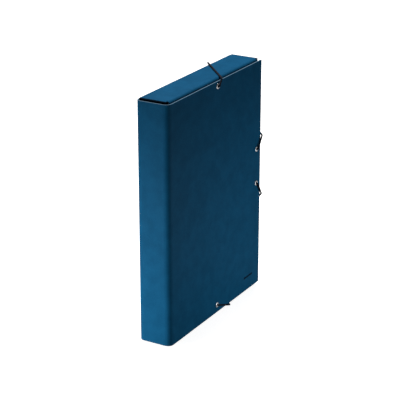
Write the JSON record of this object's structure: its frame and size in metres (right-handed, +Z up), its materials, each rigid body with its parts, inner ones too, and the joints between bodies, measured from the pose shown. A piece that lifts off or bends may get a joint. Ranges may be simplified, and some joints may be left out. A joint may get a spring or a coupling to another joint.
{
  "type": "elastic-closure project box",
  "caption": "Upright blue board project box with rounded spine folds, inner folding flaps and corner elastics held in metal eyelets, for storing loose papers.",
  "frame": {"origin": "middle of the overall footprint, at the lowest point of the lower elastic", "axes": "+X from the spine to the fore-edge, +Y from the front cover (with eyelets) to the back cover, +Z up"},
  "size_m": [0.263, 0.0588, 0.3575],
  "materials": {
    "cover_board": "embossed, plastic-coated, satin",
    "nickel": "bright nickel plate",
    "barb_steel": "dull",
    "elastic": "braided textile over rubber"
  },
  "bodies": {
    "front": {"front_cover": "cover_board", "eyelet_top": "nickel", "eyelet_bottom": "nickel", "eyelet_upper_side": "nickel", "eyelet_lower_side": "nickel", "washer_top": "nickel", "washer_bottom": "nickel", "washer_upper_side": "nickel", "washer_lower_side": "nickel", "barb_top": "barb_steel", "barb_bottom": "barb_steel", "barb_upper_side": "barb_steel", "barb_lower_side": "barb_steel", "upper_elastic": "elastic", "lower_elastic": "elastic"},
    "spine_panel": {"spine": "cover_board", "spine_fold_strip": "cover_board"},
    "back": {"back_cover": "cover_board", "back_fold_strip": "cover_board"},
    "top_wall_panel": {"top_wall": "cover_board", "top_wall_crease": "cover_board"},
    "top_flap_panel": {"top_flap": "cover_board", "top_flap_crease": "cover_board"},
    "bottom_wall_panel": {"bottom_wall": "cover_board", "bottom_wall_crease": "cover_board"},
    "bottom_flap_panel": {"bottom_flap": "cover_board", "bottom_flap_crease": "cover_board"},
    "side_wall_panel": {"side_wall": "cover_board", "side_wall_crease": "cover_board"},
    "side_flap_panel": {"side_flap": "cover_board", "side_flap_crease": "cover_board"}
  },
  "joints": [
    {"name": "spine_fold", "type": "hinge", "parent": "front", "child": "spine_panel", "pos_m": [-0.12878, -0.02283, 0.178], "axis": [0, 0, 1], "range_deg": [0, 90], "deforming": ["spine_fold_strip", "upper_elastic", "lower_elastic"]},
    {"name": "back_fold", "type": "hinge", "parent": "spine_panel", "child": "back", "pos_m": [-0.12878, 0.02373, 0.178], "axis": [0, 0, 1], "range_deg": [0, 90], "deforming": ["back_fold_strip"]},
    {"name": "top_wall_fold", "type": "hinge", "parent": "back", "child": "top_wall_panel", "pos_m": [-0.0015, 0.02502, 0.35307], "axis": [-1, 0, 0], "range_deg": [0, 90], "deforming": ["top_wall_crease"]},
    {"name": "top_flap_fold", "type": "hinge", "parent": "top_wall_panel", "child": "top_flap_panel", "pos_m": [-0.0015, -0.0181, 0.35275], "axis": [-1, 0, 0], "range_deg": [0, 90], "deforming": ["top_flap_crease"]},
    {"name": "bottom_wall_fold", "type": "hinge", "parent": "back", "child": "bottom_wall_panel", "pos_m": [-0.0015, 0.02502, 0.00443], "axis": [1, 0, 0], "range_deg": [0, 90], "deforming": ["bottom_wall_crease"]},
    {"name": "bottom_flap_fold", "type": "hinge", "parent": "bottom_wall_panel", "child": "bottom_flap_panel", "pos_m": [-0.0015, -0.0181, 0.00475], "axis": [1, 0, 0], "range_deg": [0, 90], "deforming": ["bottom_flap_crease"]},
    {"name": "side_wall_fold", "type": "hinge", "parent": "back", "child": "side_wall_panel", "pos_m": [0.12707, 0.02502, 0.178], "axis": [0, 0, 1], "range_deg": [0, 90], "deforming": ["side_wall_crease"]},
    {"name": "side_flap_fold", "type": "hinge", "parent": "side_wall_panel", "child": "side_flap_panel", "pos_m": [0.12718, -0.01853, 0.178], "axis": [0, 0, 1], "range_deg": [0, 90], "deforming": ["side_flap_crease"]}
  ],
  "couplings": [
    {"joint": "back_fold", "follows": "spine_fold", "ratio": 1},
    {"joint": "top_wall_fold", "follows": "spine_fold", "ratio": 1},
    {"joint": "top_flap_fold", "follows": "spine_fold", "ratio": 1},
    {"joint": "bottom_wall_fold", "follows": "spine_fold", "ratio": 1},
    {"joint": "bottom_flap_fold", "follows": "spine_fold", "ratio": 1},
    {"joint": "side_wall_fold", "follows": "spine_fold", "ratio": 1},
    {"joint": "side_flap_fold", "follows": "spine_fold", "ratio": 1}
  ]
}
